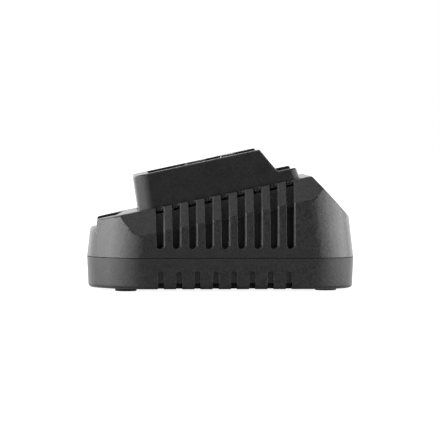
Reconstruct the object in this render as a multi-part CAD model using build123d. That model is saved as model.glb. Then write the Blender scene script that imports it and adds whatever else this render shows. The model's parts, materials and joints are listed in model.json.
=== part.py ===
from build123d import *
import os
from math import cos, hypot, radians, sin, tan

os.makedirs("parts", exist_ok=True)

# Slide-on battery charger, in millimetres and degrees.
# +X runs from the low front to the high rear, +Y is the far side and +Z is up.
# The origin lies on the resting plane, under the middle of the housing.

# ---- Housing ----
nose_margin = 28.65  # nose to the front of the battery dock
tail_margin = 30.51  # rear of the dock to the rear wall
side_margin = 10.0  # side of the dock to the side wall
parting_height = 18.4  # where the upper shell meets the base tray
parting_gap = 0.3  # shadow line between the two shells
wall = 2.4
nose_slant = 27.0  # how far in the slanted front corners reach
nose_setback = 19.7  # how far back the slanted front corners start
side_corner_radius = 27.0
nose_corner_radius = 28.0
rear_corner_radius = 23.0
side_draft = 1.0
end_draft = 6.3
deck_angle = 11.5
deck_mid_height = 53.7  # deck above the resting plane, at mid length
crest_inset = 24.3  # rear wall to where the deck turns down into the rear slope
rear_slope_angle = 46.5
ledge_depth = 5.25  # nose to the foot of the step above the front ledge
step_lean = 7.0
step_rise = 4.8  # front ledge to the deck
rim_radius = 1.6
ledge_radius = 2.2
facet_drop = 13.0  # height of the side facet, square to the deck
facet_tilt = 25.0
rail_gap = 1.0  # side of the dock to the thick rails under the rim
rail_foot = 1.6  # how far the rails reach below the side facet

# ---- Base tray ----
foot_height = 1.4
base_floor = 2.5
base_draft = 2.5
base_radius = 2.0
lip_height = 2.0
lip_thickness = 1.0
lip_clearance = 0.15

# ---- Vents ----
vent_centre_x = 1.8
upper_vent_count = 9
upper_vent_pitch = 9.0
upper_vent_width = 3.7
upper_vent_top_width = 4.3
upper_vent_bottom = 23.8
vent_bevel = 0.9  # slanted rear edge of the upper vents
vent_bevel_play = 0.05  # keeps the slant clear of a vent's front edge
baffle_thickness = 1.2  # least floor left behind the upper vents, within the side rails
vent_floor_depth = 4.6  # of that floor at the foot of the side facet, measured across
vent_floor_tilt = 12.0
notch_drop = 3.5  # above this depth under the deck the vents open again
notch_reach = 0.1  # and run in this far under the side of the dock, round at the end
lower_vent_count = 8
lower_vent_pitch = 10.1
lower_vent_width = 3.4
lower_vent_top = 11.2
lower_groove_depth = 1.2
lower_open_height = 3.3  # open part of a lower vent, above the underside
lower_vent_reach = 10.0  # how far a lower vent runs in under the tray
screen_gap = 1.0  # inner screens behind the upper vents, to the dock screws' heads
screen_thickness = 1.6
screen_bottom = 19.0
rear_vent_count = 5
rear_vent_pitch = 7.0
rear_vent_width = 3.4
rear_vent_bottom = 31.0
rear_vent_top = 47.0

# ---- Battery dock, measured along and square to the deck from mid length ----
dock_length = 91.3
dock_width = 76.0
dock_front_height = 19.3
dock_rear_height = 20.0
dock_slope_top = 19.0  # top and foot of the rear slope, from the dock's rear
dock_slope_foot = 11.45
dock_step_height = 6.2
dock_front_lean = 1.1
dock_rear_lean = 1.0
dock_front_radius = 9.0
dock_rear_radius = 4.0
dock_edge_radius = 1.0
seam_width = 0.4  # groove in the deck round the dock
seam_depth = 0.8
dock_wall = 4.0
dock_end_thickness = 9.6
dock_floor = 2.4
dock_lip = 2.5  # how far the retaining lips reach in
dock_lip_height = 2.8
guide_rib_width = 2.0
guide_rib_height = 1.2
guide_rib_inset = 13.0
catch_length = 8.0  # latch pocket in the dock floor
catch_half_width = 9.0
catch_depth = 1.2
catch_gap = 4.0  # terminal block to the latch pocket

# ---- Terminals ----
block_inset = 26.1  # from the dock's front
block_length = 38.0
block_half_width = 15.0
block_height = 12.0
block_neck_inset = 3.0
block_neck_drop = 5.0
block_clearance = 0.2
blade_thickness = 1.0
blade_chamfer = 1.2
blade_tail_width = 3.0
blade_tail_length = 4.0
blade_tip_rise = 0.6  # blade tips above the dock's rails
power_blade_inset = 5.0  # from the block's front
power_blade_length = 12.6
power_blade_half_spacing = 8.0
signal_blade_inset = 25.2
signal_blade_length = 8.7
signal_blade_spacing = 5.0

# ---- Indicator ----
recess_inset = 21.1  # nose to the rear edge of the recess
recess_depth = 1.4
recess_ramp = 5.5  # length of the slope from the deck down to the recess floor
recess_half_width = 24.0
recess_radius = 3.0
lens_front = 12.6  # lens edges, measured down the recess from its rear edge
lens_rear = 6.4
lens_side_inset = 5.0
lens_thickness = 1.2
lens_radius = 1.5
lens_clearance = 0.1
pad_thickness = 3.4
light_pipe_radius = 1.5
light_pipe_half_spacing = 8.0
light_pipe_clearance = 0.1
led_base_radius = 1.9
led_base_height = 1.0
led_height = 5.0
led_gap = 0.3

# ---- Circuit board and what stands on it ----
board_front_inset = 9.0  # from the nose, the tail and the sides of the housing
board_rear_inset = 40.0
board_side_inset = 19.0
board_corner = 9.5
board_thickness = 1.6
board_height = 10.0  # underside of the board above the resting plane
standoff_radius = 3.2
standoff_inset_x = 9.0
standoff_inset_y = 6.5
board_screw_radius = 1.25
board_screw_length = 5.0
core_inset = 19.0  # component places from the board's rear and side edges
core_depth = 18.0
core_width = 26.0
core_height = 22.0
core_leg_half = 3.5
core_window_half = 9.0
core_yoke = 5.0
bobbin_skin = 0.9
choke_inset = 42.0
choke_side = 8.2
choke_radius = 6.5
choke_bore = 3.4
choke_height = 7.0
choke_coil = 1.2
fuse_radius = 2.5
fuse_length = 20.0
fuse_cap_length = 5.0
fuse_cap_wall = 0.3
fuse_inset = 23.0
fuse_side = 6.5
clip_thickness = 0.6
clip_width = 3.0
box_cap_inset = 20.0
box_cap_side = 7.0
box_cap_size = (18.0, 8.0, 14.0)
bridge_inset = 1.8
bridge_size = (2.8, 12.0, 12.0)
bulk_cap_inset = 44.0
bulk_cap_side = 8.4
bulk_cap_radius = 7.5
bulk_cap_height = 25.0
can_groove = 0.6  # crimped groove round the foot of a can, and its top rounding
can_groove_height = 2.2
output_cap_inset = 15.0  # from the board's front
output_cap_pitch = 14.0
output_cap_side = 11.0
output_cap_radius = 5.0
output_cap_height = 18.0
sink_inset = 13.0
sink_y = 5.0
sink_thickness = 2.5
sink_height = 24.0
sink_fin_depth = 6.0
sink_fin_thickness = 1.2
sink_fin_count = 7
transistor_size = (10.0, 4.4, 15.5)
transistor_inset = 5.8
transistor_lift = 3.0
transistor_body = 9.2  # height of the moulded body, below the metal tab
transistor_tab = 1.3
transistor_leg = 0.7
transistor_pin_pitch = 2.54
transistor_hole = 12.6  # screw hole above the foot of the body
chip_inset = 27.0
chip_side = 9.0
chip_size = (10.0, 6.4, 2.4)

# ---- Fan ----
fan_inset = 31.0  # from the rear wall
fan_size = 40.0
fan_depth = 10.0
fan_corner_radius = 3.0
fan_rim = 1.4  # frame left beside the bore
fan_hub_radius = 9.0
fan_hub_skin = 1.2
fan_hub_length = 6.6
fan_base_thickness = 1.8
fan_strut_width = 2.4
fan_strut_count = 4
fan_shaft_radius = 1.0
fan_shaft_clearance = 0.03
fan_bearing_radius = 2.2
fan_stator_radius = 6.5
fan_stator_height = 3.6
fan_blade_count = 7
fan_blade_thickness = 1.0
fan_blade_pitch = 40.0
fan_running_gap = 0.8  # between the impeller and the frame's ends and struts
cradle_thickness = 2.2
cradle_clearance = 0.15
cradle_height = 14.0
cradle_grip = 3.0

# ---- Mains inlet ----
inlet_width = 22.0
inlet_height = 8.6
inlet_depth = 15.0
inlet_collar_gap = 0.35  # collar to the inside of the rear wall
inlet_collar_thickness = 2.0
inlet_collar_margin = 1.5
inlet_clearance = 0.1
socket_lobe_radius = 3.3
socket_waist = 5.4
socket_depth = 12.0
inlet_pin_radius = 1.2
inlet_pin_spacing = 8.6
inlet_pin_recess = 2.0
inlet_tail = 2.0

# ---- Fasteners and feet ----
head_rounding = 0.4  # pan head's edge, as a share of its height
cross_depth = 0.6  # cross recess, as a share of the head's height
recess_reach = 0.55  # and of the head's radius, to the ends of its arms
recess_slot = 0.16  # and to their sides
point_chamfer = 0.4  # screw point, as a share of the shank's radius
pan_head_ratio = 1.8  # head to shank, on the small board screws
foot_radius = 6.0
foot_pocket = 1.0
foot_clearance = 0.1
foot_edge_radius = 0.6
front_foot_inset = 21.6  # from the nose, the tail and the sides
rear_foot_inset = 15.6
front_foot_side = 15.0
rear_foot_side = 22.0
screw_radius = 1.5
screw_head_radius = 2.8
screw_head_height = 2.2
screw_length = 18.0
screw_clearance = 0.2
screw_seat = 3.6  # head seat above the underside of the tray
pilot_clearance = 0.03
boss_radius = 5.0
boss_height = 11.0  # above the underside of the tray
front_boss_inset = 33.0
rear_boss_inset = 17.0
boss_side = 12.0
dock_screw_radius = 1.25
dock_screw_head = 2.2
dock_screw_head_height = 1.5
dock_screw_length = 8.0
dock_screw_front_inset = 18.1
dock_screw_rear_inset = 24.7
keyhole_head_radius = 4.5
keyhole_neck_radius = 2.3
keyhole_travel = 7.0
keyhole_inset = 30.0
keyhole_spacing = 70.0

# ---- Wiring ----
mains_wire_radius = 0.9
mains_wire_bend = 3.0
mains_wire_gap = 2.15  # past the fan's cradle
mains_wire_drop = 16.0
mains_wire_end_inset = 9.0
output_wire_radius = 0.9
output_wire_bend = 3.0
signal_wire_radius = 0.5
fan_lead_radius = 0.6
fan_lead_bend = 1.2
fan_lead_spacing = 1.5
fan_lead_y = -10.0

def tand(angle):
    return tan(radians(angle))


def cosd(angle):
    return cos(radians(angle))


def sind(angle):
    return sin(radians(angle))


# ---- Values worked out from the sizes above ----
housing_length = nose_margin + dock_length * cosd(deck_angle) + tail_margin
housing_width = dock_width + 2 * side_margin
nose_x = -housing_length / 2
tail_x = housing_length / 2
far = housing_length  # reach of the cutters, past every wall
near = 0.01  # matching tolerance
floor_top = foot_height + base_floor
boss_top = foot_height + boss_height
head_seat = foot_height + screw_seat
board_top = board_height + board_thickness
fan_axis_height = floor_top + fan_size / 2

crest_x = tail_x - crest_inset
step_x = nose_x + ledge_depth
ledge_height = deck_mid_height + step_x * tand(deck_angle) - step_rise
rail_half = dock_width / 2 + rail_gap
notch_half = dock_width / 2 - notch_reach
recess_rear_x = nose_x + recess_inset
lens_half_width = recess_half_width - lens_side_inset

dock_front = (nose_x + nose_margin) / cosd(deck_angle)
dock_rear = dock_front + dock_length
dock_top_rear = dock_rear - dock_slope_top
slope_foot = dock_rear - dock_slope_foot
dock_screw_across = (dock_width - dock_wall) / 2
screen_half = dock_screw_across - dock_screw_head - screen_gap
block_front = dock_front + block_inset
block_rear = block_front + block_length
power_blade_front = block_front + power_blade_inset
power_blade_rear = power_blade_front + power_blade_length
signal_blade_front = block_front + signal_blade_inset
signal_blade_rear = signal_blade_front + signal_blade_length

board_front = nose_x + board_front_inset
board_rear = tail_x - board_rear_inset
board_half_width = housing_width / 2 - board_side_inset
core_x = board_rear - core_inset
choke_x = board_rear - choke_inset
choke_y = choke_side - board_half_width
fuse_x = board_rear - fuse_inset
fuse_y = board_half_width - fuse_side
box_cap_x = board_rear - box_cap_inset
box_cap_y = box_cap_side - board_half_width
bulk_cap_x = board_rear - bulk_cap_inset
bulk_cap_y = board_half_width - bulk_cap_side
output_cap_y = output_cap_side - board_half_width
sink_front = board_front + sink_inset
sink_length = bulk_cap_x - bulk_cap_radius - sink_front

fan_x = tail_x - fan_inset
fan_bore_radius = fan_size / 2 - fan_rim
fan_impeller_radius = fan_bore_radius - fan_running_gap
front_boss_x = nose_x + front_boss_inset
rear_boss_x = tail_x - rear_boss_inset
keyhole_front_x = nose_x + keyhole_inset


def block(x0, x1, y0, y1, z0, z1):
    """Square block between two corners."""
    return Pos((x0 + x1) / 2, (y0 + y1) / 2, (z0 + z1) / 2) * Box(x1 - x0, y1 - y0, z1 - z0)


def post(x, y, z0, z1, radius):
    """Upright round post."""
    return Pos(x, y, (z0 + z1) / 2) * Cylinder(radius, z1 - z0)


def axle(x0, x1, y, z, radius):
    """Round bar along X."""
    return Pos((x0 + x1) / 2, y, z) * Rot(0, 90, 0) * Cylinder(radius, x1 - x0)


def both_sides(shape):
    """The shape and its mirror image across the middle plane."""
    return shape + mirror(shape, about=Plane.XZ)


def wire(points, bend, radius):
    """Insulated wire along straight runs joined by tangent arcs."""
    path = FilletPolyline(*points, radius=bend)
    section = Plane(origin=path @ 0, z_dir=path % 0) * Circle(radius)
    return sweep(section, path=path)


def save(shapes, node):
    """Write one sub-part as plain separate solids."""
    solids = [solid for shape in shapes for solid in shape.solids()]
    whole = solids[0] if len(solids) == 1 else Compound(children=solids)
    export_step(whole, f"parts/{node}.step")


def deck_height(x):
    return deck_mid_height + x * tand(deck_angle)


def sloped_frame(x, angle):
    """Frame on the deck above x: local X up the slope, local Z square to it."""
    slope = Plane(
        origin=(x, 0, deck_height(x)),
        x_dir=(cosd(angle), 0, sind(angle)),
        z_dir=(-sind(angle), 0, cosd(angle)),
    )
    return Location(slope)


deck = sloped_frame(0, deck_angle)
recess = sloped_frame(recess_rear_x, deck_angle) * Pos(0, 0, -recess_depth)


def deck_point(along, across, height):
    """World position of a point given in the deck frame."""
    return (deck * Pos(along, across, height)).position


# ---- Shells ----
def plan_face(end_in, side_in, skin=0.0):
    """Plan outline of the housing, drawn in by its drafts and by a wall's thickness."""
    half_x = tail_x - end_in - skin
    half_y = housing_width / 2 - side_in - skin
    slant_y = nose_slant
    shift = (skin + (end_in + side_in) / 2) * hypot(nose_setback, slant_y)
    side_x = nose_setback + nose_x + (shift - (side_in + skin) * nose_setback) / slant_y
    nose_y = housing_width / 2 - (shift + (nose_setback - end_in - skin) * slant_y) / nose_setback
    face = Polygon(
        (half_x, -half_y),
        (half_x, half_y),
        (side_x, half_y),
        (-half_x, nose_y),
        (-half_x, -nose_y),
        (side_x, -half_y),
    )
    rear = face.vertices().filter_by(lambda v: v.X > half_x - near)
    face = fillet(rear, rear_corner_radius - skin)
    nose = face.vertices().filter_by(lambda v: v.X < near - half_x)
    face = fillet(nose, nose_corner_radius - skin)
    sides = face.vertices().filter_by(lambda v: abs(v.X - side_x) < near)
    return fillet(sides, side_corner_radius - skin)


def shell_form(low, high, end_angle, side_angle, skin=0.0):
    """Tapering form between two heights, widest at the parting plane."""
    faces = []
    for z in (low, high):
        rise = abs(z - parting_height)
        faces.append(Pos(0, 0, z) * plan_face(rise * tand(end_angle), rise * tand(side_angle), skin))
    return loft(faces, ruled=True)


def profile_bar(skin=0.0):
    """Side view of the upper shell (ledge, step, deck, rear slope) as a bar across it."""
    step_top_x = step_x + (deck_height(step_x) - ledge_height) * tand(step_lean)
    outline = Polygon(
        (-far, -far),
        (far, -far),
        (far, deck_height(crest_x) - (far - crest_x) * tand(rear_slope_angle)),
        (crest_x, deck_height(crest_x)),
        (step_top_x, deck_height(step_top_x)),
        (step_x, ledge_height),
        (-far, ledge_height),
    )
    if skin:
        outline = offset(outline, amount=-skin, kind=Kind.INTERSECTION)
    return extrude(Plane.XZ * outline, amount=housing_width, both=True)


shell_low = parting_height + parting_gap
shell_high = deck_height(far)
facet_mid_rise = deck_mid_height - facet_drop / cosd(deck_angle) - parting_height
facet_half = housing_width / 2 - facet_mid_rise * tand(side_draft)


def facet_cutters():
    """Bars that cut the two tilted side facets."""
    spread = housing_width / 2
    slant = spread * tand(facet_tilt)
    section = Polygon(
        (facet_half + slant, -facet_drop - spread),
        (facet_half + slant + spread, -facet_drop - spread),
        (facet_half + slant + spread, spread),
        (facet_half - (facet_drop + spread) * tand(facet_tilt), spread),
    )
    return deck * both_sides(extrude(Plane.YZ * section, amount=far, both=True))


def upper_outer():
    """Outside of the upper shell, with its rim and ledge rounded."""
    form = shell_form(shell_low, shell_high, end_draft, side_draft) & profile_bar()
    form = form - facet_cutters()
    up = Vector(-sind(deck_angle), 0, cosd(deck_angle))
    on_deck = form.faces().filter_by(lambda f: (f.normal_at() - up).length < near)
    form = fillet(on_deck.sort_by(SortBy.AREA)[-1].edges(), rim_radius)
    ledge = form.faces().filter_by(lambda f: f.normal_at().Z > 1 - near).sort_by(SortBy.AREA)[-1]
    front_edges = ledge.edges().filter_by(lambda e: e.center().X < step_x - rim_radius)
    return fillet(front_edges, ledge_radius)


def upper_inner():
    """Hollow of the upper shell, with thick rails left behind the side facets."""
    form = shell_form(parting_height, shell_high, end_draft, side_draft, wall)
    rail = deck * block(-far, far, rail_half, housing_width, -facet_drop - rail_foot, far)
    return (form & profile_bar(wall)) - both_sides(rail)


def upper_vent(x, inner):
    """One upright vent, round at the bottom and a little wider towards the deck."""
    radius = upper_vent_width / 2
    low = upper_vent_bottom + radius
    top = deck_height(x) + wall
    half_top = upper_vent_top_width / 2
    sides = Polygon((x - radius, low), (x + radius, low), (x + half_top, top), (x - half_top, top))
    section = sides + Pos(x, low) * Circle(radius)
    return Pos(0, -inner, 0) * extrude(Plane.XZ * section, amount=housing_width)


def vent_floor():
    """Bar that the upper vents leave standing in a rail, with a face that leans in."""
    middle = facet_half - vent_floor_depth
    low = -facet_drop - rail_foot
    top_reach = facet_drop * tand(vent_floor_tilt) - middle
    foot_reach = -rail_foot * tand(vent_floor_tilt) - middle
    section = Polygon((0, low), (0, 0), (top_reach, 0), (foot_reach, low))
    return deck * extrude(Plane.YZ * section, amount=far, both=True)


def vent_places(count, pitch):
    return [vent_centre_x + (i - (count - 1) / 2) * pitch for i in range(count)]


def wall_reach(z):
    """Half width of the housing's side wall at a height."""
    return housing_width / 2 - (z - parting_height) * tand(side_draft)


def facet_reach(x, z):
    """Half width at the side facet, above and below its own edges as well."""
    rise = (z - deck_mid_height) * cosd(deck_angle) - x * sind(deck_angle)
    return facet_half - (facet_drop + rise) * tand(facet_tilt)


def bevel_bar(x, low, reach, lean):
    """Bar that slants the rear edge of a vent, along a surface that leans in."""
    inner = (x - vent_bevel, vent_bevel * 2 - reach(x, low))
    outer = (x + 2 * vent_bevel, -vent_bevel - reach(x + vent_bevel, low))
    section = Pos(0, 0, low) * Polygon(inner, outer, (inner[0], outer[1] - wall))
    return extrude(section, amount=shell_high - low, dir=(0, lean, 1))


def ring(left, right, z, y):
    """Upright disc across the width, between two places along the length."""
    return Pos(0, y, 0) * (Plane.XZ * (Pos((left + right) / 2, z) * Circle((right - left) / 2)))


def vent_bevels(x):
    """Cuts for the slanted rear edge of a vent: side wall, facet and round end."""
    radius = upper_vent_width / 2
    low = upper_vent_bottom + radius
    edge = x + (upper_vent_width + upper_vent_top_width) / 4
    on_wall = bevel_bar(edge, low, lambda x, z: wall_reach(z), tand(side_draft))
    on_facet = bevel_bar(edge, low, facet_reach, cosd(deck_angle) * tand(facet_tilt))
    depth = vent_bevel + edge - x - radius + vent_bevel_play
    inner = ring(x - radius + 2 * vent_bevel_play, x + radius - vent_bevel_play, low, depth - wall_reach(low))
    outer = ring(x - radius + vent_bevel_play, edge + vent_bevel, low, -wall_reach(low))
    funnel = loft([inner, outer], ruled=True)
    below = block(x - far, x + far, -far, far, 0, low)
    return [on_wall, on_facet, funnel & below]


def notch(x):
    """Open top of a vent, running in to the side of the dock with a round end."""
    radius = upper_vent_top_width / 2
    zone = deck * block(-far, far, -far, far, -notch_drop, far)
    plan = Pos(x, -notch_half - radius) * Circle(radius)
    plan = plan + Polygon((x - radius, -far), (x + radius, -far), (x + radius, -notch_half - radius),
                          (x - radius, -notch_half - radius))
    return extrude(plan, amount=shell_high) & zone


def upper_vents():
    """Both rows of upper vents: open wall, baffled rail, and open notch under the deck."""
    cuts = []
    floor = vent_floor()
    for x in vent_places(upper_vent_count, upper_vent_pitch):
        cuts.append(upper_vent(x, rail_half + baffle_thickness) - floor)
        cuts.append(notch(x))
        cuts += vent_bevels(x)
    return cuts + [mirror(cut, about=Plane.XZ) for cut in cuts]


def vent_screen():
    """Screen behind one row of upper vents, open below for the air."""
    inside = screen_half - screen_thickness
    plate = block(front_boss_x, rear_boss_x, inside, screen_half, screen_bottom, shell_high)
    return both_sides(plate)


def rear_vents():
    """Upright slots through the rear wall and slope, where the fan blows out."""
    height = rear_vent_top - rear_vent_bottom
    cuts = []
    for i in range(rear_vent_count):
        y = (i - (rear_vent_count - 1) / 2) * rear_vent_pitch
        section = Pos(y, rear_vent_bottom + height / 2) * SlotOverall(height, rear_vent_width, rotation=90)
        cuts.append(Pos(crest_x, 0, 0) * extrude(Plane.YZ * section, amount=housing_length))
    return cuts


def boss_places():
    across = housing_width / 2 - boss_side
    return [(x, side * across) for x in (front_boss_x, rear_boss_x) for side in (-1, 1)]


def dock_plan():
    """Footprint of the dock on the deck."""
    face = Pos((dock_front + dock_rear) / 2, 0) * Rectangle(dock_length, dock_width)
    front = face.vertices().filter_by(lambda v: v.X < dock_front + near)
    face = fillet(front, dock_front_radius)
    rear = face.vertices().filter_by(lambda v: v.X > dock_rear - near)
    return fillet(rear, dock_rear_radius)


def dock_screw_places():
    places = (dock_front + dock_screw_front_inset, dock_rear - dock_screw_rear_inset)
    return [(along, side * dock_screw_across) for along in places for side in (-1, 1)]


lens_middle = -(lens_front + lens_rear) / 2
light_pipe_x = (recess * Pos(lens_middle, 0, 0)).position.X
light_pipe_places = [(light_pipe_x, side * light_pipe_half_spacing) for side in (-1, 1)]


def seam_ring():
    """Narrow groove in the deck round the foot of the dock."""
    ring = offset(dock_plan(), amount=seam_width) - dock_plan()
    return deck * extrude(ring, amount=seam_depth, both=True)


def recess_cutter():
    """Shallow recess in the low end of the deck, with a ramp and rounded corners at its rear."""
    reach = housing_length / 2
    plan = Pos(-reach / 2, 0) * RectangleRounded(reach, 2 * recess_half_width, recess_radius)
    rise = 2 * recess_depth
    profile = Polygon((-reach, 0), (-recess_ramp, 0), (recess_ramp, rise), (recess_ramp, reach), (-reach, reach))
    bar = extrude(Plane.XZ * profile, amount=housing_width, both=True)
    return recess * (extrude(plan, amount=reach) & bar)


def lens_prism(grow, low):
    """Indicator lens plan in the recess floor, down to a depth."""
    length = lens_front - lens_rear + 2 * grow
    plan = RectangleRounded(length, 2 * (lens_half_width + grow), lens_radius + grow)
    return recess * extrude(Pos(lens_middle, 0) * plan, amount=-low)


def terminal_window(grow, low, high):
    """Opening for the neck of the terminal block, in the deck frame."""
    half = block_half_width - block_neck_inset + grow
    front = block_front + block_neck_inset - grow
    rear = block_rear - block_neck_inset + grow
    return deck * block(front, rear, -half, half, low, high)


def make_upper_shell():
    outer = upper_outer()
    pad_half = recess_half_width + wall
    pad = recess * block(-lens_front - 2 * wall, wall, -pad_half, pad_half, -pad_thickness, wall)
    additions = [pad & outer, vent_screen() & outer]
    for x, y in boss_places():
        additions.append(post(x, y, boss_top, shell_low + wall, boss_radius - screw_clearance))
        additions.append(post(x, y, shell_low, shell_high, boss_radius - screw_clearance) & outer)
    shell = (outer - upper_inner()).fuse(*additions)
    cuts = upper_vents() + rear_vents()
    cuts += [recess_cutter(), seam_ring()]
    cuts.append(lens_prism(lens_clearance, lens_thickness))
    cuts.append(terminal_window(2 * block_clearance, -2 * wall, wall))
    for x, y in light_pipe_places:
        cuts.append(post(x, y, shell_low, deck_height(x), light_pipe_radius + light_pipe_clearance))
    for x, y in boss_places():
        cuts.append(post(x, y, foot_height, head_seat + screw_length + 1, screw_radius + pilot_clearance))
    for along, across in dock_screw_places():
        cuts.append(deck * post(along, across, -2 * wall, wall, dock_screw_radius + screw_clearance))
    half = inlet_width / 2 + inlet_clearance
    top = parting_height + inlet_height + inlet_clearance
    cuts.append(block(tail_x - 4 * wall, far, -half, half, parting_height, top))
    return shell.cut(*cuts)


def lip_ring(low, high, end_angle, side_angle, outer_skin):
    """Ring inside the side walls, between two skins of the plan outline."""
    inner_skin = wall + lip_clearance + lip_thickness
    ring = shell_form(low, high, end_angle, side_angle, outer_skin)
    return ring - shell_form(low, high, end_angle, side_angle, inner_skin)


def keyhole(x):
    """Keyhole for hanging the charger on two wall screws."""
    head = post(x, 0, 0, floor_top + near, keyhole_head_radius)
    neck = post(x + keyhole_travel, 0, 0, floor_top + near, keyhole_neck_radius)
    slot = block(x, x + keyhole_travel, -keyhole_neck_radius, keyhole_neck_radius, 0, floor_top + near)
    return head + neck + slot


def lower_vent(x):
    """Shallow groove in the side, open at its foot through the wall and the floor."""
    half = lower_vent_width / 2
    foot_half = housing_width / 2 - (parting_height - lower_vent_top / 2) * tand(base_draft)
    groove_half = foot_half - lower_groove_depth
    section = Pos(x, lower_vent_top - half) * Circle(half)
    section = section + Polygon((x - half, 0), (x + half, 0), (x + half, lower_vent_top - half),
                                (x - half, lower_vent_top - half))
    groove = Pos(0, -groove_half, 0) * extrude(Plane.XZ * section, amount=housing_width)
    open_half = housing_width / 2 - lower_vent_reach
    opening = block(x - half, x + half, -housing_width, -open_half, 0, foot_height + lower_open_height)
    return [groove, opening]


def standoff_places():
    across = board_half_width - standoff_inset_y
    return [(x, side * across) for x in (board_front + standoff_inset_x, board_rear - standoff_inset_x / 2)
            for side in (-1, 1)]


def foot_places():
    half = housing_width / 2
    front = (nose_x + front_foot_inset, half - front_foot_side)
    rear = (tail_x - rear_foot_inset, half - rear_foot_side)
    return [(x, side * y) for x, y in (front, rear) for side in (-1, 1)]


def fan_envelope(grow):
    half = fan_size / 2 + grow
    depth = fan_depth / 2 + grow
    return block(fan_x - depth, fan_x + depth, -half, half, floor_top, floor_top + fan_size)


def make_base_tray():
    outer = shell_form(foot_height, parting_height, base_draft, base_draft)
    outer = fillet(outer.faces().sort_by(Axis.Z)[0].edges(), base_radius)
    inner = shell_form(floor_top, parting_height, base_draft, base_draft, wall)
    ring_low = parting_height - lip_height
    additions = [
        lip_ring(ring_low, parting_height, base_draft, base_draft, wall / 2),
        lip_ring(parting_height, parting_height + lip_height, end_draft, side_draft, wall + lip_clearance),
    ]
    for x, y in boss_places():
        additions.append(post(x, y, foot_height + base_floor / 2, boss_top, boss_radius))
    for x, y in standoff_places():
        additions.append(post(x, y, foot_height + base_floor / 2, board_height, standoff_radius))
    depth = fan_depth / 2 + cradle_clearance + cradle_thickness
    half = fan_size / 2 + cradle_clearance + cradle_thickness
    grip = fan_size / 2 - cradle_grip
    top = floor_top + cradle_height
    cradle = block(fan_x - depth, fan_x + depth, grip, half, foot_height + base_floor / 2, top)
    additions.append(cradle - fan_envelope(cradle_clearance))
    additions.append(mirror(additions[-1], about=Plane.XZ))
    tray = (outer - inner).fuse(*additions)
    cuts = []
    for x in vent_places(lower_vent_count, lower_vent_pitch):
        cuts += lower_vent(x)
    cuts += [mirror(cut, about=Plane.XZ) for cut in cuts]
    for x, y in boss_places():
        cuts.append(post(x, y, 0, boss_top + near, screw_radius + screw_clearance))
        cuts.append(post(x, y, 0, head_seat, screw_head_radius + 2 * screw_clearance))
    for x, y in standoff_places():
        cuts.append(post(x, y, floor_top, board_height + near, board_screw_radius + pilot_clearance))
    for x, y in foot_places():
        cuts.append(post(x, y, 0, foot_height + foot_pocket, foot_radius + foot_clearance))
    cuts.append(keyhole(keyhole_front_x))
    cuts.append(keyhole(keyhole_front_x + keyhole_spacing))
    half = inlet_width / 2 + inlet_collar_margin + 2 * inlet_clearance
    cuts.append(block(0, far, -half, half, parting_height, far))
    return tray.cut(*cuts)


# ---- Battery dock ----
def dock_top_height(along):
    front_top = dock_front + dock_front_lean
    slope = (dock_rear_height - dock_front_height) / (dock_top_rear - front_top)
    return dock_front_height + (along - front_top) * slope


def dock_block():
    """Solid dock with rounded corners, in the deck frame."""
    half = dock_width / 2
    outline = Polygon(
        (dock_front, 0),
        (dock_rear, 0),
        (dock_rear - dock_rear_lean, dock_step_height),
        (slope_foot, dock_step_height),
        (dock_top_rear, dock_rear_height),
        (dock_front + dock_front_lean, dock_front_height),
    )
    body = extrude(Plane.XZ * outline, amount=half, both=True)
    upright = body.edges().filter_by(lambda e: abs(e.center().Y) > half - near)
    front = upright.filter_by(lambda e: e.center().X < dock_front + dock_front_lean)
    body = fillet(front, dock_front_radius)
    upright = body.edges().filter_by(lambda e: abs(e.center().Y) > half - near)
    rear = upright.filter_by(lambda e: e.center().X > dock_rear - dock_rear_lean)
    body = fillet(rear, dock_rear_radius)
    across = body.edges().filter_by(Axis.Y)
    turns = across.filter_by(lambda e: dock_top_rear - near < e.center().X < slope_foot + near)
    body = fillet(turns, dock_edge_radius)
    sides = body.faces().filter_by(lambda f: abs(f.normal_at().Y) > 1 - near)
    rims = [e for f in sides for e in f.edges() if near < e.center().Z and abs(e.tangent_at(0.5).X) > 0.3]
    return fillet(rims, dock_edge_radius)


def make_battery_dock():
    half = dock_width / 2 - dock_wall
    inside = dock_front + dock_end_thickness
    lip_low = dock_front_height - dock_lip_height
    cuts = [
        block(inside, far, -half, half, dock_floor, lip_low),
        block(inside, far, dock_lip - half, half - dock_lip, dock_floor, far),
        block(block_rear + catch_gap, block_rear + catch_gap + catch_length,
              -catch_half_width, catch_half_width, dock_floor - catch_depth, far),
    ]
    body = dock_block().cut(*cuts)
    ribs = []
    for side in (-1, 1):
        middle = side * (dock_width / 2 - guide_rib_inset)
        low, high = middle - guide_rib_width / 2, middle + guide_rib_width / 2
        ribs.append(block(inside - near, slope_foot, low, high,
                          dock_floor - near, dock_floor + guide_rib_height))
    body = deck * body.fuse(*ribs)
    pilots = []
    for along, across in dock_screw_places():
        depth = dock_screw_length - wall + 1
        pilots.append(deck * post(along, across, -wall, depth, dock_screw_radius + pilot_clearance))
    return body.cut(terminal_window(block_clearance, -wall, dock_floor + near), *pilots)


# ---- Terminals ----
def blade(front, rear, across):
    """Flat blade with a chamfered tip and a narrow wire tail, in the deck frame."""
    tip = dock_top_height(front) + blade_tip_rise
    middle = (front + rear) / 2
    tail = blade_tail_width / 2
    low = -block_neck_drop - blade_tail_length
    outline = Polygon(
        (middle - tail, low),
        (middle + tail, low),
        (middle + tail, dock_floor),
        (rear, dock_floor),
        (rear, tip - blade_chamfer),
        (rear - blade_chamfer, tip),
        (front + blade_chamfer, tip),
        (front, tip - blade_chamfer),
        (front, dock_floor),
        (middle - tail, dock_floor),
    )
    plate = extrude(Plane.XZ * outline, amount=blade_thickness / 2, both=True)
    return deck * (Pos(0, across, 0) * plate)


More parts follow.
